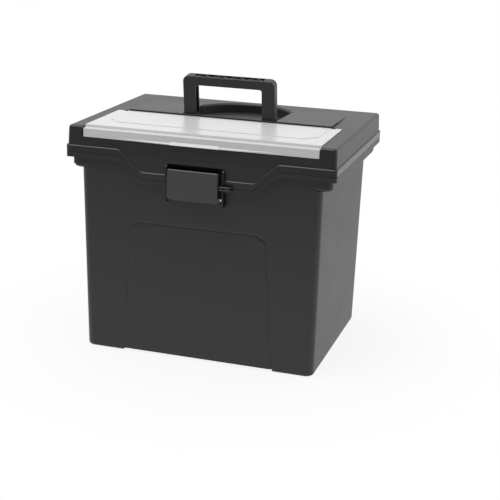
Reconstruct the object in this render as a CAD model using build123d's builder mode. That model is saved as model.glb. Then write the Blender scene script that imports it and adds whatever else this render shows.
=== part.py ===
from build123d import *
import os
from math import atan2, cos, degrees, radians, sin

os.makedirs("parts", exist_ok=True)

# Portable file box: a moulded tub for hanging letter files, a hinged lid with an organizer
# tray under its own cover, a folding carry handle and one front latch.
# Frame: origin at the bottom centre, +Z up, +X to the right, the latch on the -Y side. Millimetres.

# ---- overall ----
box_width = 351.0          # across the rim flanges, left to right
box_depth = 258.0          # across the rim flanges, front to back
box_height = 297.0         # floor to lid top
wall = 2.5                 # moulded wall of tub and lid
front_reach = 136.2        # how far the lock tabs stand forward of the centre
rear_reach = 136.2         # how far the hinge barrels stand behind the centre
split_gap = 0.4            # clear height between tub rim and lid rim
edge_gap = 0.5             # side clearance between two moulded pieces

# ---- tub ----
foot_width = 309.6
foot_depth = 237.0
body_width = 314.2         # tub at the underside of the shoulders
body_depth = 247.4
body_corner = 11.0
foot_round = 4.0
floor_lift = 3.5           # the middle of the underside stands off the ground
floor_thick = 2.6
shoulder_z = 243.0         # underside of the side shoulders
shoulder_step = 12.2       # how far each side shoulder stands out
shoulder_round = 4.0
shoulder_corner = 10.0
rail_top = 250.0           # top of the two ribs that carry the file hooks
flange_corner = 7.0
flange_lip = 2.3           # thickness of the flange's down-turned edge
flange_plate = 2.5         # thickness of the flange's top plate

# ---- the split line between tub and lid, with its dip at the front ----
split_z = 263.3            # at the sides and back
dip_split_z = 237.0        # at the middle of the front
tub_flange_low = 256.8
dip_tub_flange_low = 230.8
lid_flange_high = 272.5
dip_lid_flange_high = 246.2
dip_half_top = 103.0       # half width of the dip where it starts
dip_half_low = 74.5        # half width of its level bottom
dip_round = 12.0

# ---- groove lines that frame a panel on the front and back of the tub ----
groove_depth = 0.9
groove_width = 2.0
panel_top_z = 180.0
panel_shoulder_z = 172.0
panel_top_half = 78.0
panel_shoulder_half = 90.0
panel_foot_half = 102.5
panel_round = 5.0

# ---- lid ----
lid_foot_width = 349.0     # lid wall just above its flange
lid_foot_depth = 255.0
lid_top_width = 346.4
lid_top_depth = 252.4
lid_corner = 8.0
lid_top_round = 4.0
tray_floor_z = 268.0       # upper face of the organizer floor
tray_half = 143.0
tray_front = 119.0         # inside of the tray's front wall, in front of the centre
tray_back = 19.0
tray_wall = 2.2
raised_half = 138.0        # half width of the raised top panel behind the cover
raised_top_z = 300.0
raised_front_y = -9.6
raised_back_y = 86.0       # the raised panel runs out into the lid top here
raised_round = 0.8
tray_corner = 4.0
bed_depth = 8.0            # thick bed under the cover's barrel, front to back
bed_drop = 5.0

# ---- organizer cover ----
cover_top_z = 298.0
cover_thick = 2.0
cover_half = 152.8
cover_front = 126.6        # face of the front lip, in front of the centre
cover_step_y = 118.2        # the flat top ends here and steps down to the front ledge
cover_step_run = 1.4
cover_step_low = 294.9
cover_ledge_low = 294.6
cover_lip_low = 283.7
cover_axis_y = -12.2
cover_axis_z = 296.0
cover_barrel_r = 2.0
cover_pin_r = 1.25
cover_ear_x = 141.5
cover_ear_width = 4.4
cover_ear_wall = 0.6       # ear round the cover's barrel
cover_ear_drop = 4.0
barrel_gap = 0.4
lip_corner_round = 1.8
lip_top_round = 0.8
cover_notch_width = 6.0
inset_half = 138.0         # thin raised panel on the cover
inset_front = 90.0
inset_corner = 17.0
inset_back = 8.0           # the panel ends this far in front of the cover's axis
inset_raise = 0.45
lip_edge = 0.5             # height of the blunt lower edge of the flare and the finger tab
flare_half = 118.0         # flared lower edge of the lip, bowed out in the middle
flare_out = 1.9
lip_tab_half = 32.0
lip_tab_out = 3.1

# ---- handle ----
handle_axis_y = 1.5
handle_axis_z = 292.2
handle_lean = 8.5          # degrees the raised handle leans forward
handle_half = 62.2
handle_inner_half = 45.1
handle_thick = 14.3
handle_rise = 60.5         # axis to grip top
grip_height = 11.8
handle_outer_round = 8.0
handle_inner_round = 3.0
handle_edge_round = 1.6
truss_half = 47.0
truss_depth = 8.5
truss_wall = 2.4
truss_rib = 1.6
truss_pitch = 11.75
truss_steps = 4            # rib bends on each side of the middle
handle_pin_r = 1.5
handle_pin_inner = 50.5
handle_pin_outer = 70.0
pin_boss_r = 4.0
pin_seat_end = 0.6         # material past the end of each pin
pin_play = 0.3
leg_slot_depth = 7.0       # open channel in the inner face of each leg
leg_slot_foot = 9.0        # the channel starts this far above the axis

# ---- recess for the folded handle ----
recess_half = 64.4
recess_front_y = -8.0
recess_side_y = 73.0
recess_back_y = 113.0
recess_floor_z = 284.4
recess_wall = 2.2
recess_bevel = 2.2

# ---- latch ----
latch_x = -4.1             # the latch sits a little left of centre, beside the lock tabs
latch_half = 32.9
latch_low = 216.0
latch_high = 254.5
latch_face = 133.5         # outer face, in front of the centre
latch_plate = 2.2
latch_skirt = 5.6
latch_wall = 2.2
latch_corner = 1.6
latch_rim_bevel = 0.9
skirt_rise = 2.0           # the skirts start this far above the pin
latch_axis_y = -130.0
latch_axis_z = 221.0
latch_pin_r = 1.25
latch_barrel_r = 3.1
latch_barrel_reach = 2.2    # the barrel runs past the plate on the right
claw_half = 12.0
claw_low = 250.2
claw_thick = 2.3
claw_tip_y = -127.5
catch_half = 14.0
catch_low = 245.4
catch_thick = 2.4
catch_tip_y = -126.5
cheek_x = -2.2             # middle of the gap between the cheeks
cheek_in = 35.9            # half the gap between the cheeks
cheek_thick = 2.2
cheek_front_y = -131.6
tub_cheek_low = 212.0
lid_cheek_high = 258.4
cheek_round = 3.5
pocket_floor_y = -119.5    # back of the finger pocket in the lid
pocket_high = 260.0
pocket_shelf_y = -123.4    # front of the shelf under the pocket

# ---- lock tabs beside the latch ----
tab_left = 30.4
tab_right = 47.2
tab_thick = 1.8
tab_gap = 1.5
tab_round = 6.5
lock_hole_x = 40.7
lock_hole_y = -132.0
lock_hole_r = 2.6

# ---- rear hinges ----
hinge_inset = 70.5         # middle of each hinge, in from the flange edge
hinge_barrel_r = 3.3
hinge_pin_r = 1.5
hinge_lid_length = 24.0
hinge_tub_length = 12.0
hinge_side_gap = 0.4
hinge_web = 3.0
bite = 0.5                 # how far one block runs into the next to join it

# ---- pin fits ----
seat_clear = 0.02          # pin held in its seat
run_clear = 0.08           # pin turning in its bore

# ---- worked-out values ----
shoulder_width = body_width + 2 * shoulder_step
hinge_x = box_width / 2 - hinge_inset
rim_depth = body_depth
tub_top = split_z - split_gap / 2
dip_tub_top = dip_split_z - split_gap / 2
lid_low = split_z + split_gap / 2
dip_lid_low = dip_split_z + split_gap / 2
hinge_y = rear_reach - hinge_barrel_r
hinge_web_y = (box_depth / 2 + hinge_y - wall) / 2
front_y = -box_depth / 2
notch_y = -rim_depth / 2 - edge_gap     # back of the flange's notch behind the latch
dip_reach = dip_half_top + 15.0
front_lean = degrees(atan2((body_depth - foot_depth) / 2, shoulder_z))
through = 40.0             # generous length for cuts that pass right through


def dip_points(side_z, dip_z):
    """Corners of one line that follows the dip at the front, left to right."""
    return [
        (-dip_reach, side_z),
        (-dip_half_top, side_z),
        (-dip_half_low, dip_z),
        (dip_half_low, dip_z),
        (dip_half_top, side_z),
        (dip_reach, side_z),
    ]


def dip_band(low_side, low_dip, high_side, high_dip):
    """Flat band between two lines that follow the dip."""
    low = dip_points(low_side, low_dip)
    high = dip_points(high_side, high_dip)
    with BuildSketch() as band:
        with BuildLine():
            FilletPolyline(*low, radius=dip_round)
            FilletPolyline(*high, radius=dip_round)
            Line(low[0], high[0])
            Line(low[-1], high[-1])
        make_face()
    return band.sketch_local


def panel_outline():
    """Outline of the framed panel, drawn up the slope of the wall."""
    with BuildSketch() as outline:
        with BuildLine():
            FilletPolyline(
                (-panel_foot_half, -through / 4),
                (-panel_shoulder_half, panel_shoulder_z),
                (-panel_top_half, panel_top_z),
                (panel_top_half, panel_top_z),
                (panel_shoulder_half, panel_shoulder_z),
                (panel_foot_half, -through / 4),
                radius=panel_round,
            )
            Line((-panel_foot_half, -through / 4), (panel_foot_half, -through / 4))
        make_face()
    return outline.sketch_local


def wall_front(height):
    """Front face of the tub wall at a height, as a y value."""
    return -(foot_depth + (body_depth - foot_depth) * height / shoulder_z) / 2


def tub_cheek_outline():
    """Side view of a cheek on the tub, in y and z: it stands on the wall and the flange's notch."""
    with BuildSketch() as outline:
        with BuildLine():
            Polyline(
                (wall_front(tub_cheek_low), tub_cheek_low),
                (cheek_front_y, tub_cheek_low),
                (cheek_front_y, dip_tub_top),
                (notch_y, dip_tub_top),
                (notch_y, dip_tub_flange_low),
                (wall_front(dip_tub_flange_low), dip_tub_flange_low),
                close=True,
            )
        make_face()
        fillet(outline.vertices().group_by(Axis.Y)[0].sort_by(Axis.X)[0], cheek_round)
    return outline.sketch_local


def lid_cheek_outline():
    """Side view of a cheek on the lid, in y and z: it stands on the wall and on the flange."""
    with BuildSketch() as outline:
        with BuildLine():
            Polyline(
                (front_y, dip_lid_low),
                (cheek_front_y, dip_lid_low),
                (cheek_front_y, lid_cheek_high),
                (-lid_foot_depth / 2, lid_cheek_high),
                (-lid_foot_depth / 2, dip_lid_flange_high),
                (front_y, dip_lid_flange_high),
                close=True,
            )
        make_face()
        fillet(outline.vertices().group_by(Axis.Y)[-1].sort_by(Axis.X)[0], cheek_round)
    return outline.sketch_local


def tab_outline():
    """Plan view of one lock tab, seated on the flange and round the cheek, with its shackle hole."""
    cheek_out = cheek_x + cheek_in + cheek_thick
    with BuildSketch() as outline:
        with BuildLine():
            Polyline(
                (tab_left, cheek_front_y),
                (tab_left, -front_reach),
                (tab_right, -front_reach),
                (tab_right, front_y),
                (cheek_out, front_y),
                (cheek_out, cheek_front_y),
                close=True,
            )
        make_face()
        fillet(outline.vertices().group_by(Axis.Y)[0].sort_by(Axis.X)[-1], tab_round)
        fillet(outline.vertices().group_by(Axis.Y)[0].sort_by(Axis.X)[0], cheek_round)
        with Locations((lock_hole_x, lock_hole_y)):
            Circle(lock_hole_r, mode=Mode.SUBTRACT)
    return outline.sketch_local


# ---------------------------------------------------------------- tub
with BuildPart() as rim_block:
    with BuildSketch(Plane.XY.offset(shoulder_z)):
        RectangleRounded(shoulder_width, rim_depth, shoulder_corner)
    extrude(amount=tub_top - shoulder_z)
    fillet(rim_block.edges().group_by(Axis.Z)[0], shoulder_round)

with BuildPart() as base_tub:
    with BuildSketch(Plane.XY):
        RectangleRounded(foot_width, foot_depth, body_corner)
    with BuildSketch(Plane.XY.offset(shoulder_z)):
        RectangleRounded(body_width, body_depth, body_corner)
    loft()
    fillet(base_tub.edges().group_by(Axis.Z)[0], foot_round)
    # the underside is lifted between the two long feet
    with BuildSketch(Plane.XY):
        Rectangle(2 * panel_foot_half, box_depth)
    extrude(amount=floor_lift, mode=Mode.SUBTRACT)
    # groove lines of the panels, front and back
    for side in (-1, 1):
        face_plane = Plane(
            origin=(0, side * foot_depth / 2, 0),
            x_dir=(-side, 0, 0),
            z_dir=(0, side * cos(radians(front_lean)), -sin(radians(front_lean))),
        )
        with BuildSketch(face_plane):
            add(panel_outline())
            offset(panel_outline(), amount=-groove_width, mode=Mode.SUBTRACT)
        extrude(amount=-groove_depth, mode=Mode.SUBTRACT)
    # shoulders and rim wall
    with BuildSketch(Plane.XY.offset(shoulder_z)):
        RectangleRounded(body_width, body_depth, body_corner)
    extrude(amount=tub_top - shoulder_z)
    add(rim_block.part)
    # rim flange with its down-turned lip
    with BuildSketch(Plane.XY.offset(tub_flange_low)):
        RectangleRounded(box_width, box_depth, flange_corner)
    extrude(amount=tub_top - tub_flange_low)
    with BuildSketch(Plane.XY.offset(tub_flange_low)):
        RectangleRounded(box_width - 2 * flange_lip, box_depth - 2 * flange_lip, flange_corner - flange_lip)
        RectangleRounded(shoulder_width, rim_depth, shoulder_corner, mode=Mode.SUBTRACT)
    extrude(amount=tub_top - flange_plate - tub_flange_low, mode=Mode.SUBTRACT)
    # the flange follows the dip at the front
    with BuildSketch(Plane.XZ.offset(-front_y)):
        add(dip_band(tub_flange_low, dip_tub_flange_low, tub_top, dip_tub_top))
    extrude(amount=-(box_depth - rim_depth) / 2 - wall / 2)
    with BuildSketch(Plane.XZ.offset(-front_y - flange_lip)):
        add(
            dip_band(
                tub_flange_low - through,
                dip_tub_flange_low - through,
                tub_top - flange_plate,
                dip_tub_top - flange_plate,
            )
        )
    extrude(amount=-((box_depth - rim_depth) / 2 - flange_lip), mode=Mode.SUBTRACT)
    # inside: file space, room above the rails, and the troughs beside the rails
    with BuildSketch(Plane.XY.offset(floor_lift + floor_thick)):
        RectangleRounded(foot_width - 2 * wall, foot_depth - 2 * wall, body_corner - wall)
    with BuildSketch(Plane.XY.offset(shoulder_z)):
        RectangleRounded(body_width - 2 * wall, body_depth - 2 * wall, body_corner - wall)
    loft(mode=Mode.SUBTRACT)
    with BuildSketch(Plane.XY.offset(shoulder_z)):
        RectangleRounded(body_width - 2 * wall, body_depth - 2 * wall, body_corner - wall)
    extrude(amount=rail_top - shoulder_z, mode=Mode.SUBTRACT)
    with BuildSketch(Plane.XY.offset(rail_top)):
        RectangleRounded(shoulder_width - 2 * wall, rim_depth - 2 * wall, shoulder_corner - wall)
    extrude(amount=through, mode=Mode.SUBTRACT)
    trough_width = (shoulder_width - body_width) / 2 - wall
    for side in (-1, 1):
        with BuildSketch(Plane.XY.offset(shoulder_z + wall)):
            with Locations((side * (body_width + trough_width) / 2, 0)):
                RectangleRounded(trough_width, rim_depth - 2 * wall, trough_width / 4)
        extrude(amount=rail_top - shoulder_z - wall + split_gap / 40, mode=Mode.SUBTRACT)
    # the rim drops away at the front
    with BuildSketch(Plane.XZ.offset(box_depth)):
        add(dip_band(tub_top, dip_tub_top, tub_top + through, tub_top + through - wall))
    extrude(amount=-(box_depth - rim_depth / 2 + wall + 2 * bite), mode=Mode.SUBTRACT)
    # behind the latch the flange is cut back to the wall
    with BuildSketch(Plane.XY.offset(tub_cheek_low)):
        with Locations((cheek_x, front_y)):
            Rectangle(2 * (cheek_in + cheek_thick), 2 * (notch_y - front_y))
    extrude(amount=lid_cheek_high - tub_cheek_low, mode=Mode.SUBTRACT)
    # rear hinge barrels
    for centre in (-hinge_x, hinge_x):
        for side in (-1, 1):
            barrel_x = centre + side * (hinge_lid_length / 2 + hinge_side_gap + hinge_tub_length / 2)
            with BuildSketch(Plane.YZ.offset(barrel_x)):
                with Locations((hinge_y, split_z)):
                    Circle(hinge_barrel_r)
                with Locations((hinge_web_y, split_z - hinge_barrel_r + hinge_web / 2)):
                    Rectangle(hinge_y - box_depth / 2 + wall, hinge_web)
                with Locations((hinge_y, split_z)):
                    Circle(hinge_pin_r + seat_clear, mode=Mode.SUBTRACT)
            extrude(amount=hinge_tub_length / 2, both=True)
base_tub.part.label = "base_tub"
export_step(base_tub.part, "parts/base_tub.step")
print("tub", len(base_tub.solids()), round(base_tub.part.volume))


# ---------------------------------------------------------------- lid
seat_z = cover_axis_z - 0.4
roof_low = seat_z - wall
lip_seat_z = cover_lip_low - edge_gap
lip_seat_y = cover_front - cover_thick - edge_gap
bed_half = cover_half + wall
ledge_seat_z = cover_ledge_low - cover_thick - edge_gap


def recess_outline(grow):
    """Plan view of the handle recess: straight sides and one long arc at the back."""
    half = recess_half + grow
    with BuildSketch() as outline:
        with BuildLine():
            Line((-half, recess_side_y), (-half, recess_front_y - grow))
            Line((-half, recess_front_y - grow), (half, recess_front_y - grow))
            Line((half, recess_front_y - grow), (half, recess_side_y))
            ThreePointArc((half, recess_side_y), (0, recess_back_y + grow), (-half, recess_side_y))
        make_face()
    return outline.sketch_local


with BuildPart() as recess_bevel_cut:
    with BuildSketch(Plane.XY.offset(box_height - recess_bevel)):
        add(recess_outline(0))
    with BuildSketch(Plane.XY.offset(box_height + wall)):
        add(recess_outline(recess_bevel + wall))
    loft()
    with BuildSketch(Plane.XY.offset(box_height - recess_bevel)):
        with Locations((0, recess_side_y + recess_back_y / 2)):
            Rectangle(2 * box_width, recess_back_y)
    extrude(amount=recess_bevel + wall, mode=Mode.INTERSECT)

with BuildPart() as lid_form:
    with BuildSketch(Plane.XY.offset(lid_low)):
        RectangleRounded(lid_foot_width, lid_foot_depth, lid_corner)
    with BuildSketch(Plane.XY.offset(box_height)):
        RectangleRounded(lid_top_width, lid_top_depth, lid_corner)
    loft()
    fillet(lid_form.edges().group_by(Axis.Z)[-1], lid_top_round)

with BuildPart() as raised_panel:
    with BuildSketch(Plane.YZ):
        with BuildLine():
            Polyline(
                (raised_front_y, roof_low),
                (raised_front_y, raised_top_z),
                (raised_back_y, box_height),
                (raised_back_y, roof_low),
                close=True,
            )
        make_face()
    extrude(amount=raised_half, both=True)
    fillet(raised_panel.edges().filter_by(Axis.X).sort_by(Axis.Z)[-1], raised_round)

with BuildPart() as lid_shell:
    # rim flange, stepping down with the dip at the front
    with BuildSketch(Plane.XY.offset(lid_low)):
        RectangleRounded(box_width, box_depth, flange_corner)
    extrude(amount=lid_flange_high - lid_low)
    with BuildSketch(Plane.XZ.offset(-front_y)):
        add(
            dip_band(
                lid_flange_high,
                dip_lid_flange_high,
                lid_flange_high + through,
                dip_lid_flange_high + through,
            )
        )
    extrude(amount=-(box_depth - lid_foot_depth) / 2 - wall, mode=Mode.SUBTRACT)
    with BuildSketch(Plane.XZ.offset(-front_y)):
        add(dip_band(lid_low, dip_lid_low, lid_flange_high, dip_lid_flange_high))
    extrude(amount=-(box_depth - lid_foot_depth) / 2 - wall)
    with BuildSketch(Plane.XZ.offset(lid_foot_depth / 2)):
        add(dip_band(lid_low, dip_lid_low, lid_low + wall, lid_low + wall - bite))
    extrude(amount=-wall)
    add(lid_form.part)
    add(raised_panel.part)
    # hollow inside
    with BuildSketch(Plane.XY.offset(lid_low)):
        RectangleRounded(lid_foot_width - 2 * wall, lid_foot_depth - 2 * wall, lid_corner - wall)
    with BuildSketch(Plane.XY.offset(roof_low)):
        RectangleRounded(lid_top_width - 2 * wall, lid_top_depth - 2 * wall, lid_corner - wall)
    loft(mode=Mode.SUBTRACT)
    # organizer tray, handle recess and the bed under the cover hinge
    with BuildSketch(Plane.XY.offset(tray_floor_z - tray_wall)):
        with Locations((0, -(tray_front + tray_back) / 2)):
            Rectangle(2 * (tray_half + tray_wall), tray_front - tray_back + 2 * tray_wall)
    extrude(amount=roof_low - tray_floor_z + tray_wall)
    with BuildSketch(Plane.XY.offset(recess_floor_z - recess_wall)):
        add(recess_outline(recess_wall))
    extrude(amount=roof_low - recess_floor_z + recess_wall)
    with BuildSketch(Plane.XY.offset(roof_low - bed_drop)):
        with Locations((0, cover_axis_y + bite)):
            Rectangle(2 * bed_half, bed_depth)
    extrude(amount=bed_drop)
    with BuildSketch(Plane.XY.offset(lip_seat_z - wall)):
        with Locations((0, -(lip_seat_y + tray_front) / 2)):
            Rectangle(2 * bed_half, lip_seat_y - tray_front + 2 * wall)
    extrude(amount=roof_low - lip_seat_z + wall)
    # seat of the cover and of its front lip
    with BuildSketch(Plane.XY.offset(seat_z)):
        with Locations((0, cover_axis_y - through * 2)):
            Rectangle(2 * (cover_half + edge_gap), through * 4)
    extrude(amount=through, mode=Mode.SUBTRACT)
    with BuildSketch(Plane.XY.offset(lip_seat_z)):
        with Locations((0, -lip_seat_y - through / 2)):
            Rectangle(2 * (cover_half + edge_gap), through)
    extrude(amount=through, mode=Mode.SUBTRACT)
    with BuildSketch(Plane.XY.offset(ledge_seat_z)):
        with Locations((0, -cover_step_y + cover_thick - through / 2)):
            Rectangle(2 * (cover_half + edge_gap), through)
    extrude(amount=through, mode=Mode.SUBTRACT)
    # tray and recess openings
    with BuildSketch(Plane.XY.offset(tray_floor_z)):
        with Locations((0, -(tray_front + tray_back) / 2)):
            RectangleRounded(2 * tray_half, tray_front - tray_back, tray_corner)
    extrude(amount=through, mode=Mode.SUBTRACT)
    with BuildSketch(Plane.XY.offset(recess_floor_z)):
        add(recess_outline(0))
    extrude(amount=through, mode=Mode.SUBTRACT)
    add(recess_bevel_cut.part, mode=Mode.SUBTRACT)
    # groove for the cover's barrel, then the ears that hold its two rods
    with BuildSketch(Plane.YZ):
        with Locations((cover_axis_y, cover_axis_z)):
            Circle(cover_barrel_r + barrel_gap)
        with Locations((cover_axis_y, cover_axis_z + wall)):
            Rectangle(2 * (cover_barrel_r + barrel_gap), 2 * wall)
    extrude(amount=cover_half + edge_gap, both=True, mode=Mode.SUBTRACT)
    for side in (-1, 1):
        with BuildSketch(Plane.YZ.offset(side * cover_ear_x)):
            with Locations((cover_axis_y, cover_axis_z)):
                Circle(cover_barrel_r + cover_ear_wall)
            with Locations((cover_axis_y, cover_axis_z - cover_ear_drop / 2)):
                Rectangle(2 * (cover_barrel_r + cover_ear_wall), cover_ear_drop)
            with Locations((cover_axis_y, cover_axis_z)):
                Circle(cover_pin_r + run_clear, mode=Mode.SUBTRACT)
            with Locations((cover_axis_y, cover_axis_z + cover_ear_drop / 2)):
                Rectangle(2 * cover_pin_r - bite, cover_ear_drop, mode=Mode.SUBTRACT)
        extrude(amount=cover_ear_width / 2, both=True)
    # seats for the handle pins
    for side in (-1, 1):
        seat_in = handle_half + edge_gap
        with BuildSketch(Plane.YZ.offset(side * seat_in)):
            with Locations((handle_axis_y, handle_axis_z)):
                Circle(pin_boss_r)
        extrude(amount=side * (handle_pin_outer + pin_seat_end - seat_in))
        with BuildSketch(Plane.YZ.offset(side * (seat_in - bite))):
            with Locations((handle_axis_y, handle_axis_z)):
                Circle(handle_pin_r + seat_clear)
        extrude(amount=side * (handle_pin_outer - seat_in + bite), mode=Mode.SUBTRACT)
    # pocket behind the latch
    pocket_width = 2 * cheek_in
    with BuildSketch(Plane.XY.offset(dip_lid_low)):
        with Locations((cheek_x, (pocket_floor_y - lid_foot_depth / 2) / 2 + wall / 2)):
            Rectangle(pocket_width + 2 * cheek_thick, lid_foot_depth / 2 + pocket_floor_y + wall)
    extrude(amount=pocket_high + wall - dip_lid_low)
    with BuildSketch(Plane.XY.offset(dip_lid_low + wall)):
        with Locations((cheek_x, pocket_floor_y - through / 2)):
            Rectangle(pocket_width, through)
    extrude(amount=pocket_high - dip_lid_low - wall, mode=Mode.SUBTRACT)
    with BuildSketch(Plane.XY.offset(dip_lid_low)):
        with Locations((cheek_x, pocket_shelf_y - through / 2)):
            Rectangle(pocket_width, through)
    extrude(amount=wall, mode=Mode.SUBTRACT)
    # catch for the claw
    with BuildSketch(Plane.XY.offset(catch_low)):
        with Locations((latch_x, (catch_tip_y + pocket_floor_y) / 2)):
            Rectangle(2 * catch_half, pocket_floor_y - catch_tip_y)
    extrude(amount=catch_thick)
    # rear hinge barrels
    for centre in (-hinge_x, hinge_x):
        with BuildSketch(Plane.YZ.offset(centre)):
            with Locations((hinge_y, split_z)):
                Circle(hinge_barrel_r)
            with Locations((hinge_web_y, split_z + hinge_barrel_r - hinge_web / 2)):
                Rectangle(hinge_y - box_depth / 2 + wall, hinge_web)
            with Locations((hinge_y, split_z)):
                Circle(hinge_pin_r + run_clear, mode=Mode.SUBTRACT)
        extrude(amount=hinge_lid_length / 2, both=True)
lid_shell.part.label = "lid_shell"
export_step(lid_shell.part, "parts/lid_shell.step")
print("lid", len(lid_shell.solids()), round(lid_shell.part.volume))

# ---------------------------------------------------------------- organizer cover
def flare_profile(reach):
    """Side view of a flare on the lip, in y and z: sloped on top, blunt at its lower edge."""
    with BuildSketch() as profile:
        with BuildLine():
            Polyline(
                (-cover_front + bite, cover_lip_low),
                (-cover_front - reach, cover_lip_low),
                (-cover_front - reach, cover_lip_low + lip_edge),
                (-cover_front + bite, cover_lip_low + lip_edge + reach + bite),
                close=True,
            )
        make_face()
    return profile.sketch_local


with BuildPart() as lip_flare:
    with BuildSketch(Plane.YZ.offset(latch_x)):
        add(flare_profile(flare_out))
    extrude(amount=flare_half, both=True)
    with BuildSketch(Plane.XY.offset(cover_lip_low)):
        with BuildLine():
            Line((latch_x - flare_half, -cover_front + bite), (latch_x + flare_half, -cover_front + bite))
            ThreePointArc(
                (latch_x + flare_half, -cover_front + bite),
                (latch_x, -cover_front - flare_out),
                (latch_x - flare_half, -cover_front + bite),
            )
        make_face()
    extrude(amount=lip_edge + flare_out + bite, mode=Mode.INTERSECT)

with BuildPart() as organizer_cover:
    with BuildSketch(Plane.YZ):
        with BuildLine():
            Polyline(
                (cover_axis_y, cover_top_z),
                (-cover_step_y, cover_top_z),
                (-cover_step_y - cover_step_run, cover_step_low),
                (-cover_front, cover_ledge_low),
                (-cover_front, cover_lip_low),
                (-cover_front + cover_thick, cover_lip_low),
                (-cover_front + cover_thick, cover_ledge_low - cover_thick),
                (-cover_step_y - cover_step_run + cover_thick, cover_step_low - cover_thick),
                (-cover_step_y + cover_thick, cover_axis_z),
                (cover_axis_y, cover_axis_z),
                close=True,
            )
        make_face()
    extrude(amount=cover_half, both=True)
    lip_edges = organizer_cover.edges().filter_by_position(Axis.Y, -cover_front - 0.1, -cover_front + 0.1)
    lip_corner = lip_edges.filter_by(Axis.Z)
    fillet(lip_corner, lip_corner_round)
    fillet(
        organizer_cover.edges()
        .filter_by(Axis.X)
        .filter_by_position(Axis.Y, -cover_front - 0.1, -cover_front + 0.1)
        .group_by(Axis.Z)[-1],
        lip_top_round,
    )
    # thin raised panel
    with BuildSketch(Plane.XY.offset(cover_top_z)):
        with BuildLine():
            Polyline(
                (-inset_half, cover_axis_y - inset_back),
                (-inset_half, -inset_front + inset_corner),
                (-inset_half + inset_corner, -inset_front),
                (inset_half - inset_corner, -inset_front),
                (inset_half, -inset_front + inset_corner),
                (inset_half, cover_axis_y - inset_back),
                close=True,
            )
        make_face()
    extrude(amount=inset_raise)
    # barrel along the back edge, notched for the lid's ears, with a rod left in each notch
    with BuildSketch(Plane.YZ):
        with Locations((cover_axis_y, cover_axis_z)):
            Circle(cover_barrel_r)
    extrude(amount=cover_half, both=True)
    for side in (-1, 1):
        with BuildSketch(Plane.XY.offset(cover_axis_z - wall)):
            with Locations((side * cover_ear_x, cover_axis_y)):
                Rectangle(cover_notch_width, 2 * (cover_barrel_r + wall / 2))
        extrude(amount=2 * wall, mode=Mode.SUBTRACT)
        with BuildSketch(Plane.YZ.offset(side * cover_ear_x)):
            with Locations((cover_axis_y, cover_axis_z)):
                Circle(cover_pin_r)
        extrude(amount=cover_notch_width / 2 + bite, both=True)
    # flared lower edge of the lip and the finger tab in its middle
    add(lip_flare.part)
    with BuildSketch(Plane.YZ.offset(latch_x)):
        add(flare_profile(lip_tab_out))
    extrude(amount=lip_tab_half, both=True)
organizer_cover.part.label = "organizer_cover"
export_step(organizer_cover.part, "parts/organizer_cover.step")
print("cover", len(organizer_cover.solids()), round(organizer_cover.part.volume))

# ---------------------------------------------------------------- handle
rib_swing = handle_thick - 2 * truss_wall
rib_turn = degrees(atan2(rib_swing, truss_pitch))
rib_length = rib_swing / sin(radians(rib_turn)) + truss_rib
lean_sin = sin(radians(handle_lean))
lean_cos = cos(radians(handle_lean))
handle_foot = (0, handle_axis_y, handle_axis_z)
handle_front = Plane(origin=handle_foot, x_dir=(1, 0, 0), z_dir=(0, -lean_cos, -lean_sin))
handle_side = Plane(origin=handle_foot, x_dir=(0, lean_cos, lean_sin), z_dir=(1, 0, 0))
grip_plane = Plane(
    origin=(0, handle_axis_y - handle_rise * lean_sin, handle_axis_z + handle_rise * lean_cos),
    x_dir=(1, 0, 0),
    z_dir=(0, -lean_sin, lean_cos),
)
with BuildPart() as handle:
    with BuildSketch(handle_front):
        with BuildLine():
            Polyline(
                (-handle_half, -handle_thick / 2),
                (-handle_half, handle_rise),
                (handle_half, handle_rise),
                (handle_half, -handle_thick / 2),
                (handle_inner_half, -handle_thick / 2),
                (handle_inner_half, handle_rise - grip_height),
                (-handle_inner_half, handle_rise - grip_height),
                (-handle_inner_half, -handle_thick / 2),
                close=True,
            )
        make_face()
    extrude(amount=handle_thick / 2, both=True)
    thickness_axis = Axis((0, 0, 0), (0, lean_cos, lean_sin))
    fillet(handle.edges().filter_by(thickness_axis).group_by(Axis.Z)[-2], handle_inner_round)
    fillet(handle.edges().filter_by(thickness_axis).group_by(Axis.Z)[-1], handle_outer_round)
    # rounded feet about the pivot
    with BuildSketch(handle_side):
        Circle(handle_thick / 2)
        with Locations((0, handle_rise / 2)):
            Rectangle(handle_thick, handle_rise)
    extrude(amount=2 * handle_half, both=True, mode=Mode.INTERSECT)
    fillet(handle.edges().filter_by(Axis.X).sort_by(Axis.Z)[-2:], handle_edge_round)
    # trussed pocket in the grip
    with BuildSketch(grip_plane):
        Rectangle(2 * truss_half, handle_thick - 2 * truss_wall)
    extrude(amount=-truss_depth, mode=Mode.SUBTRACT)
    with BuildSketch(grip_plane.offset(-truss_depth)):
        for step in range(-truss_steps, truss_steps):
            rib_angle = -rib_turn if step % 2 else rib_turn
            with Locations(((step + 0.5) * truss_pitch, 0)):
                Rectangle(rib_length, truss_rib, rotation=rib_angle)
    extrude(amount=truss_depth - bite)
    # open channels in the inner faces of the legs
    leg_slot_top = handle_rise - grip_height - handle_inner_round
    with BuildSketch(handle_side):
        with Locations((0, (leg_slot_foot + leg_slot_top) / 2)):
            Rectangle(handle_thick - 2 * truss_wall, leg_slot_top - leg_slot_foot)
    extrude(amount=handle_inner_half + leg_slot_depth, both=True, mode=Mode.SUBTRACT)
    # pin bores
    for side in (-1, 1):
        with BuildSketch(Plane.YZ.offset(side * (handle_pin_inner - pin_play))):
            with Locations((handle_axis_y, handle_axis_z)):
                Circle(handle_pin_r + run_clear)
        extrude(amount=side * through, mode=Mode.SUBTRACT)
handle.part.label = "handle"
export_step(handle.part, "parts/handle.step")
print("handle", len(handle.solids()), round(handle.part.volume))

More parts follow.
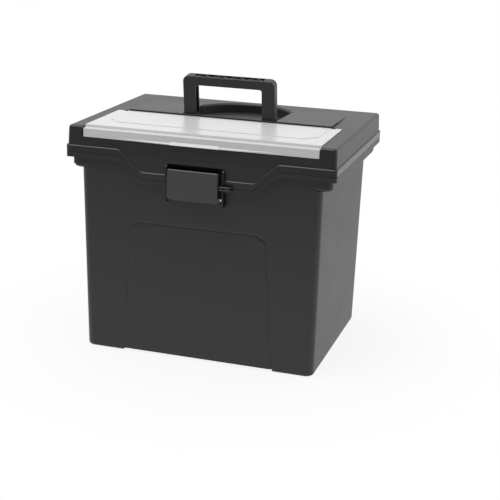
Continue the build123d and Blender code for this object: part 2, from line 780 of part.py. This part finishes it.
# ---------------------------------------------------------------- latch
with BuildPart() as latch:
    with BuildSketch(Plane.XZ.offset(latch_face)):
        with Locations((latch_x, (latch_low + latch_high) / 2)):
            RectangleRounded(2 * latch_half, latch_high - latch_low, latch_corner)
    extrude(amount=-latch_plate)
    chamfer(latch.faces().sort_by(Axis.Y)[0].edges(), latch_rim_bevel)
    # side skirts
    skirt_low = latch_axis_z + skirt_rise
    skirt_reach = latch_plate + latch_skirt
    for side in (-1, 1):
        with BuildSketch(Plane.XY.offset(skirt_low)):
            with Locations((latch_x + side * (latch_half - latch_wall / 2), -latch_face + skirt_reach / 2)):
                Rectangle(latch_wall, skirt_reach)
        extrude(amount=latch_high - latch_corner - skirt_low)
    # barrel round the pin
    with BuildSketch(Plane.YZ.offset(latch_x)):
        with Locations((latch_axis_y, latch_axis_z)):
            Circle(latch_barrel_r)
    extrude(amount=latch_half, both=True)
    with BuildSketch(Plane.YZ.offset(latch_x + latch_half)):
        with Locations((latch_axis_y, latch_axis_z)):
            Circle(latch_barrel_r)
    extrude(amount=latch_barrel_reach)
    with BuildSketch(Plane.YZ.offset(latch_x)):
        with Locations((latch_axis_y, latch_axis_z)):
            Circle(latch_pin_r + run_clear)
    extrude(amount=latch_half + latch_barrel_reach + bite, both=True, mode=Mode.SUBTRACT)
    # claw
    with BuildSketch(Plane.XY.offset(claw_low)):
        with Locations((latch_x, (claw_tip_y - latch_face) / 2)):
            Rectangle(2 * claw_half, claw_tip_y + latch_face - bite)
    extrude(amount=claw_thick)
latch.part.label = "latch"
export_step(latch.part, "parts/latch.step")
print("latch", len(latch.solids()), round(latch.part.volume))

# ---------------------------------------------------------------- cheeks beside the latch
cheek_left = cheek_x - cheek_in - cheek_thick / 2
cheek_right = cheek_x + cheek_in + cheek_thick / 2

with BuildPart() as tub_cheek_left:
    with BuildSketch(Plane.YZ.offset(cheek_left)):
        add(tub_cheek_outline())
        with Locations((latch_axis_y, latch_axis_z)):
            Circle(latch_pin_r + seat_clear, mode=Mode.SUBTRACT)
    extrude(amount=cheek_thick / 2, both=True)
tub_cheek_left.part.label = "tub_cheek_left"
export_step(tub_cheek_left.part, "parts/tub_cheek_left.step")

with BuildPart() as tub_cheek_right:
    with BuildSketch(Plane.YZ.offset(cheek_right)):
        add(tub_cheek_outline())
        with Locations((latch_axis_y, latch_axis_z)):
            Circle(latch_pin_r + seat_clear, mode=Mode.SUBTRACT)
    extrude(amount=cheek_thick / 2, both=True)
tub_cheek_right.part.label = "tub_cheek_right"
export_step(tub_cheek_right.part, "parts/tub_cheek_right.step")

with BuildPart() as lid_cheek_left:
    with BuildSketch(Plane.YZ.offset(cheek_left)):
        add(lid_cheek_outline())
    extrude(amount=cheek_thick / 2, both=True)
lid_cheek_left.part.label = "lid_cheek_left"
export_step(lid_cheek_left.part, "parts/lid_cheek_left.step")

with BuildPart() as lid_cheek_right:
    with BuildSketch(Plane.YZ.offset(cheek_right)):
        add(lid_cheek_outline())
    extrude(amount=cheek_thick / 2, both=True)
lid_cheek_right.part.label = "lid_cheek_right"
export_step(lid_cheek_right.part, "parts/lid_cheek_right.step")

# ---------------------------------------------------------------- lock tabs
with BuildPart() as lock_tab_lower:
    with BuildSketch(Plane.XY.offset(dip_split_z - tab_gap / 2 - tab_thick)):
        add(tab_outline())
    extrude(amount=tab_thick)
lock_tab_lower.part.label = "lock_tab_lower"
export_step(lock_tab_lower.part, "parts/lock_tab_lower.step")

with BuildPart() as lock_tab_upper:
    with BuildSketch(Plane.XY.offset(dip_split_z + tab_gap / 2)):
        add(tab_outline())
    extrude(amount=tab_thick)
lock_tab_upper.part.label = "lock_tab_upper"
export_step(lock_tab_upper.part, "parts/lock_tab_upper.step")

# ---------------------------------------------------------------- steel pins
with BuildPart() as latch_pin:
    with BuildSketch(Plane.YZ.offset(cheek_x)):
        with Locations((latch_axis_y, latch_axis_z)):
            Circle(latch_pin_r)
    extrude(amount=cheek_in + cheek_thick, both=True)
latch_pin.part.label = "latch_pin"
export_step(latch_pin.part, "parts/latch_pin.step")

pin_reach = hinge_lid_length / 2 + hinge_side_gap + hinge_tub_length
with BuildPart() as hinge_pin_left:
    with BuildSketch(Plane.YZ.offset(-hinge_x)):
        with Locations((hinge_y, split_z)):
            Circle(hinge_pin_r)
    extrude(amount=pin_reach, both=True)
hinge_pin_left.part.label = "hinge_pin_left"
export_step(hinge_pin_left.part, "parts/hinge_pin_left.step")

with BuildPart() as hinge_pin_right:
    with BuildSketch(Plane.YZ.offset(hinge_x)):
        with Locations((hinge_y, split_z)):
            Circle(hinge_pin_r)
    extrude(amount=pin_reach, both=True)
hinge_pin_right.part.label = "hinge_pin_right"
export_step(hinge_pin_right.part, "parts/hinge_pin_right.step")

with BuildPart() as handle_pin_left:
    with BuildSketch(Plane.YZ.offset(-handle_pin_outer)):
        with Locations((handle_axis_y, handle_axis_z)):
            Circle(handle_pin_r)
    extrude(amount=handle_pin_outer - handle_pin_inner)
handle_pin_left.part.label = "handle_pin_left"
export_step(handle_pin_left.part, "parts/handle_pin_left.step")

with BuildPart() as handle_pin_right:
    with BuildSketch(Plane.YZ.offset(handle_pin_inner)):
        with Locations((handle_axis_y, handle_axis_z)):
            Circle(handle_pin_r)
    extrude(amount=handle_pin_outer - handle_pin_inner)
handle_pin_right.part.label = "handle_pin_right"
export_step(handle_pin_right.part, "parts/handle_pin_right.step")
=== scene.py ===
import math

import bmesh
import bpy
from mathutils import Matrix, Vector


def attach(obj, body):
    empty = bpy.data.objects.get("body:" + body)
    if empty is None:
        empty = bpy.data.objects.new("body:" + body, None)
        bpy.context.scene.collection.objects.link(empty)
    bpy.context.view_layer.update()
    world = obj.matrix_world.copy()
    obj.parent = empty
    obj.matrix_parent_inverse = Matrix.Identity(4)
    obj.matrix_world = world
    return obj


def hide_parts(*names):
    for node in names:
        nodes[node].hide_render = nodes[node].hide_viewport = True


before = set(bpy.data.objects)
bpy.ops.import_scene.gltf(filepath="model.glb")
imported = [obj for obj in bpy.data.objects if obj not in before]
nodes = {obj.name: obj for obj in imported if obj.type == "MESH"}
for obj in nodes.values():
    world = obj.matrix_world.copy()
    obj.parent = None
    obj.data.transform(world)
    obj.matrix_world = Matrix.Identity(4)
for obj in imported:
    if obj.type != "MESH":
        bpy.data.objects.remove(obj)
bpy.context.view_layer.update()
MM = 0.001
scene = bpy.context.scene


# ---------------------------------------------------------------- camera
IMAGE_SIDE = 500.0          # pixels
FOCAL_PX = 1196.0
PRINCIPAL_PX = (226.8, 259.2)
AZIMUTH = math.radians(17.88)
ELEVATION = math.radians(17.73)
ROLL = math.radians(1.48)
CAMERA_AT = Vector((475.8, -1474.2, 598.5)) * MM
SENSOR = 36.0               # millimetres


def add_camera():
    """Studio camera in front and to the right of the box, a little above it."""
    data = bpy.data.cameras.new("studio_camera")
    data.sensor_width = SENSOR
    data.lens = FOCAL_PX / IMAGE_SIDE * SENSOR
    data.shift_x = (IMAGE_SIDE / 2 - PRINCIPAL_PX[0]) / IMAGE_SIDE
    data.shift_y = (PRINCIPAL_PX[1] - IMAGE_SIDE / 2) / IMAGE_SIDE
    camera = bpy.data.objects.new("studio_camera", data)
    scene.collection.objects.link(camera)
    back = Vector((
        math.sin(AZIMUTH) * math.cos(ELEVATION),
        -math.cos(AZIMUTH) * math.cos(ELEVATION),
        math.sin(ELEVATION),
    ))
    right = Vector((math.cos(AZIMUTH), math.sin(AZIMUTH), 0.0))
    up = back.cross(right)
    turned_right = right * math.cos(ROLL) + up * math.sin(ROLL)
    turned_up = up * math.cos(ROLL) - right * math.sin(ROLL)
    turn = Matrix((turned_right, turned_up, back)).transposed()
    camera.matrix_world = Matrix.Translation(CAMERA_AT) @ turn.to_4x4()
    scene.camera = camera


# ---------------------------------------------------------------- materials
BUMP_DISTANCE = 0.1 * MM        # height of the mould's grain
GRAIN_FINE = 1500.0             # size of the grain, as a noise scale: larger is finer
GRAIN_PEARL = 300.0
GRAIN_STEEL = 2500.0
GRAIN_SHARE = 0.5               # grain against slow waviness, in the height
GRAIN_DETAIL = 3.0
WAVE_SIZE = 16.0
WAVE_DETAIL = 2.0
POLISHED_FROM = (175.1, 128.6)  # past these half widths and half depths the rim flange is polished
POLISHED_ROUGH = 0.30


def new_group(name, inputs, outputs):
    """Empty shader node group with named sockets: {name: (type, default)}."""
    group = bpy.data.node_groups.new(name, "ShaderNodeTree")
    for label, (kind, default) in inputs.items():
        socket = group.interface.new_socket(label, in_out="INPUT", socket_type=kind)
        socket.default_value = default
    for label, kind in outputs.items():
        group.interface.new_socket(label, in_out="OUTPUT", socket_type=kind)
    start = group.nodes.new("NodeGroupInput")
    end = group.nodes.new("NodeGroupOutput")
    return group, start, end


def mould_grain_group():
    """Fine moulded texture: a tight grain over a slow waviness, as height, plus a slow mask."""
    group, start, end = new_group(
        "mould_grain",
        {
            "Grain Size": ("NodeSocketFloat", GRAIN_FINE),
            "Wave Size": ("NodeSocketFloat", WAVE_SIZE),
            "Grain Share": ("NodeSocketFloat", GRAIN_SHARE),
        },
        {"Height": "NodeSocketFloat", "Drift": "NodeSocketFloat"},
    )
    add, link = group.nodes.new, group.links.new
    place = add("ShaderNodeTexCoord")
    grain = add("ShaderNodeTexNoise")
    grain.inputs["Detail"].default_value = GRAIN_DETAIL
    link(place.outputs["Object"], grain.inputs["Vector"])
    link(start.outputs["Grain Size"], grain.inputs["Scale"])
    wave = add("ShaderNodeTexNoise")
    wave.inputs["Detail"].default_value = WAVE_DETAIL
    link(place.outputs["Object"], wave.inputs["Vector"])
    link(start.outputs["Wave Size"], wave.inputs["Scale"])
    mix = add("ShaderNodeMix")
    link(start.outputs["Grain Share"], mix.inputs[0])
    link(wave.outputs["Fac"], mix.inputs[2])
    link(grain.outputs["Fac"], mix.inputs[3])
    link(mix.outputs[0], end.inputs["Height"])
    link(wave.outputs["Fac"], end.inputs["Drift"])
    return group


MOULD_GRAIN = mould_grain_group()


def moulded_plastic(name, dark, light, roughness, grain, bump):
    """Moulded surface whose tint and roughness drift slowly between two values, under a fine grain."""
    material = bpy.data.materials.new(name)
    material.use_nodes = True
    tree = material.node_tree
    add, link = tree.nodes.new, tree.links.new
    shader = tree.nodes["Principled BSDF"]
    group = add("ShaderNodeGroup")
    group.node_tree = MOULD_GRAIN
    group.inputs["Grain Size"].default_value = grain
    tint = add("ShaderNodeMix")
    tint.data_type = "RGBA"
    tint.inputs[6].default_value = (*dark, 1.0)
    tint.inputs[7].default_value = (*light, 1.0)
    rough = add("ShaderNodeMapRange")
    rough.inputs["To Min"].default_value = roughness[0]
    rough.inputs["To Max"].default_value = roughness[1]
    height = add("ShaderNodeBump")
    height.inputs["Strength"].default_value = bump
    height.inputs["Distance"].default_value = BUMP_DISTANCE
    link(group.outputs["Drift"], tint.inputs[0])
    link(tint.outputs[2], shader.inputs["Base Color"])
    link(group.outputs["Drift"], rough.inputs["Value"])
    link(rough.outputs["Result"], shader.inputs["Roughness"])
    link(group.outputs["Height"], height.inputs["Height"])
    link(height.outputs["Normal"], shader.inputs["Normal"])
    return material


def polish_rim(material):
    """The rim flange's outer faces come from a polished part of the mould: lower roughness there."""
    tree = material.node_tree
    add, link = tree.nodes.new, tree.links.new
    shader = tree.nodes["Principled BSDF"]
    grained = shader.inputs["Roughness"].links[0].from_socket
    place = add("ShaderNodeTexCoord")
    apart = add("ShaderNodeSeparateXYZ")
    link(place.outputs["Object"], apart.inputs[0])
    either = add("ShaderNodeMath")
    either.operation = "MAXIMUM"
    for index, (axis, reach) in enumerate(zip("XY", POLISHED_FROM)):
        side = add("ShaderNodeMath")
        side.operation = "ABSOLUTE"
        link(apart.outputs[axis], side.inputs[0])
        past = add("ShaderNodeMath")
        past.operation = "GREATER_THAN"
        past.inputs[1].default_value = reach * MM
        link(side.outputs[0], past.inputs[0])
        link(past.outputs[0], either.inputs[index])
    polished = add("ShaderNodeMix")
    polished.inputs[3].default_value = POLISHED_ROUGH
    link(either.outputs[0], polished.inputs[0])
    link(grained, polished.inputs[2])
    link(polished.outputs[0], shader.inputs["Roughness"])


BLACK_TINTS = (0.019, 0.019, 0.0195), (0.026, 0.026, 0.0265)
# The cheeks' tints are far darker than the box's own black: painted shade, standing in for the shade in
# the gaps beside the latch plate.
CHEEK_SHADE_TINTS = (0.005, 0.005, 0.005), (0.007, 0.007, 0.007)
LATCH_TINTS = (0.054, 0.054, 0.055), (0.062, 0.062, 0.063)
PEARL_TINTS = (0.70, 0.70, 0.70), (0.76, 0.76, 0.76)
STEEL_TINTS = (0.55, 0.55, 0.56), (0.62, 0.62, 0.63)
BLACK = moulded_plastic("black_moulded", *BLACK_TINTS, (0.40, 0.48), GRAIN_FINE, 0.25)
LID_BLACK = moulded_plastic("lid_moulded", *BLACK_TINTS, (0.40, 0.46), GRAIN_FINE, 0.22)
CHEEK_PAINTED_SHADE = moulded_plastic("cheek_painted_shade", *CHEEK_SHADE_TINTS, (0.42, 0.50), GRAIN_FINE, 0.2)
LATCH_BLACK = moulded_plastic("latch_moulded", *LATCH_TINTS, (0.36, 0.44), GRAIN_FINE, 0.2)
PEARL = moulded_plastic("pearl_moulded", *PEARL_TINTS, (0.26, 0.34), GRAIN_PEARL, 0.05)
STEEL = moulded_plastic("drawn_steel", *STEEL_TINTS, (0.2, 0.3), GRAIN_STEEL, 0.2)
STEEL.node_tree.nodes["Principled BSDF"].inputs["Metallic"].default_value = 1.0
polish_rim(LID_BLACK)


# ---------------------------------------------------------------- edges that get a flat chamfer
RIM_HALF = (175.2, 128.7)       # just inside the rim flange's outer faces
LEDGE_Z = (245.8, 272.8)        # from the flange's dip to its high sides
TAB_RIM_Y = -131.8              # the lock tabs' rim in front of the cheeks
FACING = 0.9                    # share of a direction past which a face points that way
SLANTED = 0.5                   # the same for the flange's top, which slopes in its dip
UPRIGHT = 0.3                   # share of the vertical below which a face is a side


def on_flange_ledge(edge):
    """True for the outer top edge of the lid's rim flange, dip included."""
    up = max(face.normal.z for face in edge.link_faces)
    side = min(abs(face.normal.z) for face in edge.link_faces)
    outside = all(
        abs(corner.co.x) > RIM_HALF[0] * MM or abs(corner.co.y) > RIM_HALF[1] * MM
        for corner in edge.verts
    )
    low = min(corner.co.z for corner in edge.verts)
    return outside and up > SLANTED and side < UPRIGHT and LEDGE_Z[0] * MM < low < LEDGE_Z[1] * MM


def on_tab_rim(edge):
    """True for the outer top edge of a lock tab, all round but for the side on its cheek."""
    up = max(face.normal.z for face in edge.link_faces)
    side = min(abs(face.normal.z) for face in edge.link_faces)
    in_front = all(corner.co.y < TAB_RIM_Y * MM for corner in edge.verts)
    return up > FACING and side < UPRIGHT and in_front


def on_cheek_corner(edge):
    """True for a cheek's upright outer corner on the left."""
    along = (edge.verts[0].co - edge.verts[1].co).normalized()
    left = min(face.normal.x for face in edge.link_faces)
    front = min(face.normal.y for face in edge.link_faces)
    return abs(along.z) > FACING and left < -FACING and front < -FACING


def cut_flat(work, chosen, width):
    """Flat 45 degree chamfer along the edges that the function chooses."""
    edges = [e for e in work.edges if len(e.link_faces) == 2 and e.is_convex and chosen(e)]
    bmesh.ops.bevel(
        work, geom=edges, offset=width * MM, offset_type="OFFSET", segments=1, affect="EDGES",
        profile=0.5, clamp_overlap=False, miter_outer="SHARP",
    )


# ---------------------------------------------------------------- tighter upright corners
EDGE_ROUND = 4.0                # rounding between the lid's walls and its top
ON_CORNER = 0.3                 # how near a point lies to the corner's round to count as on it
HEIGHT_SLACK = 0.05             # and how far past a band's heights
SIDE_SLACK = 0.02               # and past the ends of the round
# Walls with upright corners: height range, half widths and half depths at its ends, corner radius,
# tighter radius, and the height where the wall starts to round over (None where it doesn't).
LID_BANDS = [
    (263.5, 272.5, (175.5, 175.5), (129.0, 129.0), 7.0, 3.5, None),
    (263.5, 297.0, (174.5, 173.2), (127.5, 126.2), 8.0, 4.2, 293.0),
]
TUB_BANDS = [
    (256.8, 263.1, (175.5, 175.5), (129.0, 129.0), 7.0, 3.5, None),
    (247.0, 263.1, (169.3, 169.3), (123.7, 123.7), 10.0, 6.0, None),
    (120.0, 243.0, (155.9, 157.1), (121.1, 123.7), 11.0, 8.5, None),
]


def ramp(height, low, high):
    """Value at a height between two ends: each end is (height, value)."""
    share = (height - low[0]) / (high[0] - low[0])
    return low[1] + (high[1] - low[1]) * share


def rounded_over(height, start):
    """How far the wall has drawn in at a height, where it rounds over into the top from start up."""
    into = 0.0 if start is None else max(0.0, height - start)
    return EDGE_ROUND - math.sqrt(max(0.0, EDGE_ROUND ** 2 - into ** 2))


def crisp_corners(work, bands):
    """Tighten the four upright corners of moulded walls."""
    for corner in work.verts:
        place = corner.co / MM
        for low, high, half_x, half_y, radius, tight, round_from in bands:
            if not low - HEIGHT_SLACK <= place.z <= high + HEIGHT_SLACK:
                continue
            centre_x = ramp(place.z, (low, half_x[0]), (high, half_x[1])) - radius
            centre_y = ramp(place.z, (low, half_y[0]), (high, half_y[1])) - radius
            out_x = abs(place.x) - centre_x
            out_y = abs(place.y) - centre_y
            if min(out_x, out_y) < -SIDE_SLACK:
                continue
            away = math.hypot(out_x, out_y)
            on_round = radius - rounded_over(place.z, round_from)
            if abs(away - on_round) > ON_CORNER or not away:
                continue
            shift = radius - tight
            scale = max(0.0, away - shift) / away
            corner.co.x = math.copysign(centre_x + shift + out_x * scale, place.x) * MM
            corner.co.y = math.copysign(centre_y + shift + out_y * scale, place.y) * MM
            break


# ---------------------------------------------------------------- the front panel's frame line
TUB_FOOT = 237.0                # depth of the tub's body at its foot and at its shoulders
TUB_SHOULDER = 247.4
SHOULDER_Z = 243.0
# outline of the panel on the front wall, as x and z
PANEL_OUTLINE = [
    (-102.5, -10.0), (-90.0, 172.0), (-78.0, 180.0), (78.0, 180.0), (90.0, 172.0), (102.5, -10.0),
]
GROOVE_WIDTH = 2.0
NEAR_LINE = 0.6                 # how far beside the groove a point may lie to count as on it
ON_FACE = 0.1                   # a point this near the wall's face is on it,
IN_GROOVE = (0.4, 1.2)          # and one this deep is on the groove's floor
SIDE_LINE = 0.5                 # sideways share of the way inwards past which a line is at the side
LEFT_TRACE = 0.15               # depth left of the panel's left line
VALLEY_DEPTH = 0.55             # depth of the top line
RIGHT_DEPTH = 1.0               # the right line is deeper, with a steep outer wall
VALLEY_SPREAD = 1.4             # how far the line's edges move apart, and its floor's edges together
VALLEY_NARROW = 0.6
STEEP_FROM, STEEP_FULL = 0.3, 0.8   # the outer wall gets steep as the way inwards turns to the left


def wall_front(height):
    """Front face of the tub wall at a height, in millimetres."""
    return -(TUB_FOOT + (TUB_SHOULDER - TUB_FOOT) * height / SHOULDER_Z) / 2.0


def frame_inset(place):
    """How far inside the panel's outline a point of the front wall lies, and the way inwards there."""
    pull = Vector()
    inset = 0.0
    weight = 0.0
    for start, end in zip(PANEL_OUTLINE, PANEL_OUTLINE[1:]):
        along = Vector((end[0] - start[0], 0.0, end[1] - start[1])).normalized()
        inwards = Vector((along.z, 0.0, -along.x))
        gap = (place.x - start[0]) * inwards.x + (place.z - start[1]) * inwards.z
        share = math.exp(-gap)
        pull += inwards * share
        inset += gap * share
        weight += share
    return inset / weight, pull.normalized()


def soften_panel(work):
    """Ease the front panel's frame line: a shallow valley on top and right, only a trace on the left."""
    for corner in work.verts:
        place = corner.co / MM
        sunk = place.y - wall_front(place.z)
        if not -ON_FACE < sunk < IN_GROOVE[1]:
            continue
        inset, inward = frame_inset(place)
        if not -NEAR_LINE < inset < GROOVE_WIDTH + NEAR_LINE:
            continue
        on_floor = sunk > IN_GROOVE[0]
        if inward.x > SIDE_LINE:
            if on_floor:
                corner.co.y -= (sunk - LEFT_TRACE) * MM
            continue
        outer = inset < GROOVE_WIDTH / 2
        steep = (-inward.x - STEEP_FROM) / (STEEP_FULL - STEEP_FROM)
        eased = 1.0 - min(1.0, max(0.0, steep)) if outer else 1.0
        side = 1.0 if outer else -1.0
        if on_floor:
            depth = VALLEY_DEPTH if inward.x > -SIDE_LINE else RIGHT_DEPTH
            corner.co.y -= (sunk - depth) * MM
            corner.co += inward * (side * VALLEY_NARROW * eased * MM)
        elif abs(sunk) < ON_FACE:
            corner.co -= inward * (side * VALLEY_SPREAD * eased * MM)


# ---------------------------------------------------------------- pieces
MERGE = 0.004                   # points this near each other become one
SHARP_ANGLE = 28.0              # degrees: edges past this get a small round
LEDGE_CHAMFER = 1.0             # chamfer widths
TAB_CHAMFER = 0.7
CHEEK_CHAMFER = 0.9


def reshape_lid(work):
    """Tighter corners, and a chamfer that catches the light along the rim flange."""
    crisp_corners(work, LID_BANDS)
    work.normal_update()
    cut_flat(work, on_flange_ledge, LEDGE_CHAMFER)


def reshape_tub(work):
    """Tighter corners, and the panel's frame line eased."""
    crisp_corners(work, TUB_BANDS)
    soften_panel(work)


def reshape_tab(work):
    """A chamfer round the lock tab's top."""
    work.normal_update()
    cut_flat(work, on_tab_rim, TAB_CHAMFER)


def reshape_cheek(work):
    """A chamfer down the cheek's left corner."""
    work.normal_update()
    cut_flat(work, on_cheek_corner, CHEEK_CHAMFER)


def finished_shell(node, material, edge, body, reshape=None):
    """The node's own form with its sharp edges eased, as a piece that stands for the node."""
    mesh = bpy.data.meshes.new(node + "_shell")
    work = bmesh.new()
    work.from_mesh(nodes[node].data)
    bmesh.ops.remove_doubles(work, verts=work.verts, dist=MERGE * MM)
    if reshape:
        reshape(work)
    work.to_mesh(mesh)
    work.free()
    for polygon in mesh.polygons:
        polygon.use_smooth = True
    mesh.materials.append(material)
    piece = bpy.data.objects.new(node + "_shell", mesh)
    scene.collection.objects.link(piece)
    ease = piece.modifiers.new("eased_edges", "BEVEL")
    ease.width = edge * MM
    ease.segments = 2
    ease.limit_method = "ANGLE"
    ease.angle_limit = math.radians(SHARP_ANGLE)
    ease.use_clamp_overlap = True
    ease.miter_outer = "MITER_SHARP"
    even = piece.modifiers.new("flat_faces", "WEIGHTED_NORMAL")
    even.mode = "FACE_AREA_WITH_ANGLE"
    even.weight = 100
    even.keep_sharp = False
    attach(piece, body)
    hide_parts(node)


finished_shell("base_tub", BLACK, 0.5, "base", reshape=reshape_tub)
finished_shell("lid_shell", LID_BLACK, 0.3, "lid", reshape=reshape_lid)
finished_shell("organizer_cover", PEARL, 0.3, "cover")
finished_shell("handle", BLACK, 0.5, "carry")
finished_shell("latch", LATCH_BLACK, 0.2, "latch_body")
finished_shell("lock_tab_lower", BLACK, 0.15, "base", reshape=reshape_tab)
finished_shell("lock_tab_upper", BLACK, 0.15, "lid", reshape=reshape_tab)
for hand in ("left", "right"):
    # The cheeks take the darker tints: painted shade in the gaps beside the latch plate.
    finished_shell("tub_cheek_" + hand, CHEEK_PAINTED_SHADE, 0.15, "base", reshape=reshape_cheek)
    finished_shell("lid_cheek_" + hand, CHEEK_PAINTED_SHADE, 0.15, "lid")
for pin in ("latch_pin", "hinge_pin_left", "hinge_pin_right", "handle_pin_left", "handle_pin_right"):
    nodes[pin].material_slots[0].material = STEEL


# ---------------------------------------------------------------- stage and light
TABLE_EDGE = (-1.15, -0.80)     # where the table's reflection fades into the dark room in front, metres
ROOM_EDGE = (-0.75, -0.15)      # where the white room fades into dark, as the y share of a direction
ROOM_DARK = 0.10
ROOM_LEVEL = 0.8                # the room's light on the box, against 1 in its reflections
TABLE_WHITE = (0.86, 0.86, 0.86, 1.0)
TABLE_HALF = 6.0                # metres
SHADOW_REACH = (0.15, 0.42)     # the box's shadow on the table clears to white between these radii, metres
SHADOW_CLEAR = (0.88, 1.0)      # how much white covers the shadow at those radii
LAMP_AT = (-0.45, -0.55, 1.75)  # metres
LAMP_AIM = (0.0, 0.0, 0.2)
LAMP_SIZE = 1.0
LAMP_POWER = 12.6               # watts


def background_share(tree):
    """Two masks: rays from the camera, and rays off a gloss or through glass."""
    path = tree.nodes.new("ShaderNodeLightPath")
    mirrored = tree.nodes.new("ShaderNodeMath")
    mirrored.operation = "MAXIMUM"
    tree.links.new(path.outputs["Is Glossy Ray"], mirrored.inputs[0])
    tree.links.new(path.outputs["Is Transmission Ray"], mirrored.inputs[1])
    return path.outputs["Is Camera Ray"], mirrored.outputs[0]


def faded(tree, source, between, values):
    """Value that goes smoothly from one to another as the source passes between two values."""
    fade = tree.nodes.new("ShaderNodeMapRange")
    fade.interpolation_type = "SMOOTHSTEP"
    fade.inputs["From Min"].default_value = between[0]
    fade.inputs["From Max"].default_value = between[1]
    fade.inputs["To Min"].default_value = values[0]
    fade.inputs["To Max"].default_value = values[1]
    tree.links.new(source, fade.inputs["Value"])
    return fade.outputs["Result"]


def mixed_shader(tree, share, first, second):
    """Shader that goes from the first to the second as the share goes from 0 to 1."""
    mix = tree.nodes.new("ShaderNodeMixShader")
    tree.links.new(share, mix.inputs[0])
    tree.links.new(first, mix.inputs[1])
    tree.links.new(second, mix.inputs[2])
    return mix.outputs[0]


def table_material():
    """Pale table: matt white for light, white to the eye, and dark past its front edge in reflections."""
    material = bpy.data.materials.new("pale_table")
    material.use_nodes = True
    tree = material.node_tree
    add, link = tree.nodes.new, tree.links.new
    matt = tree.nodes["Principled BSDF"]
    matt.inputs["Base Color"].default_value = TABLE_WHITE
    matt.inputs["Roughness"].default_value = 0.9
    matt.inputs["Specular IOR Level"].default_value = 0.1
    place = add("ShaderNodeTexCoord")
    apart = add("ShaderNodeSeparateXYZ")
    link(place.outputs["Object"], apart.inputs[0])
    reflected = add("ShaderNodeEmission")
    link(faded(tree, apart.outputs["Y"], TABLE_EDGE, (ROOM_DARK, 1.0)), reflected.inputs["Strength"])
    white = add("ShaderNodeEmission")
    away = add("ShaderNodeVectorMath")
    away.operation = "LENGTH"
    link(place.outputs["Object"], away.inputs[0])
    clear = faded(tree, away.outputs["Value"], SHADOW_REACH, SHADOW_CLEAR)
    camera_ray, glossy_ray = background_share(tree)
    seen = mixed_shader(tree, clear, matt.outputs[0], white.outputs[0])
    unseen = mixed_shader(tree, glossy_ray, matt.outputs[0], reflected.outputs[0])
    surface = mixed_shader(tree, camera_ray, unseen, seen)
    link(surface, tree.nodes["Material Output"].inputs["Surface"])
    return material


def add_table():
    """Flat table under the box, at the height of its feet."""
    half = TABLE_HALF
    corners = [(-half, -half, 0), (half, -half, 0), (half, half, 0), (-half, half, 0)]
    mesh = bpy.data.meshes.new("floor")
    mesh.from_pydata(corners, [], [(0, 1, 2, 3)])
    mesh.materials.append(table_material())
    table = bpy.data.objects.new("floor", mesh)
    scene.collection.objects.link(table)


def add_top_light():
    """Large soft lamp above the box, from the left front."""
    data = bpy.data.lights.new("top_light", "AREA")
    data.energy = LAMP_POWER
    data.size = LAMP_SIZE
    lamp = bpy.data.objects.new("top_light", data)
    lamp.location = LAMP_AT
    lamp.rotation_euler = (Vector(LAMP_AIM) - Vector(LAMP_AT)).to_track_quat("-Z", "Y").to_euler()
    scene.collection.objects.link(lamp)


def add_room():
    """Soft white room, dark only towards the front, white to the camera."""
    world = bpy.data.worlds.new("studio")
    scene.world = world
    world.use_nodes = True
    tree = world.node_tree
    add, link = tree.nodes.new, tree.links.new
    background = tree.nodes["Background"]
    background.inputs["Color"].default_value = (1.0, 1.0, 1.0, 1.0)
    place = add("ShaderNodeTexCoord")
    apart = add("ShaderNodeSeparateXYZ")
    link(place.outputs["Generated"], apart.inputs[0])
    camera_ray, glossy_ray = background_share(tree)
    level = add("ShaderNodeMapRange")
    level.inputs["To Min"].default_value = ROOM_LEVEL
    level.inputs["To Max"].default_value = 1.0
    link(glossy_ray, level.inputs["Value"])
    lit = add("ShaderNodeMath")
    lit.operation = "MULTIPLY"
    link(faded(tree, apart.outputs["Y"], ROOM_EDGE, (ROOM_DARK, 1.0)), lit.inputs[0])
    link(level.outputs["Result"], lit.inputs[1])
    shown = add("ShaderNodeMath")
    shown.operation = "MAXIMUM"
    link(camera_ray, shown.inputs[0])
    link(lit.outputs[0], shown.inputs[1])
    link(shown.outputs[0], background.inputs["Strength"])


add_camera()
add_table()
add_room()
add_top_light()
scene.view_settings.view_transform = "Standard"
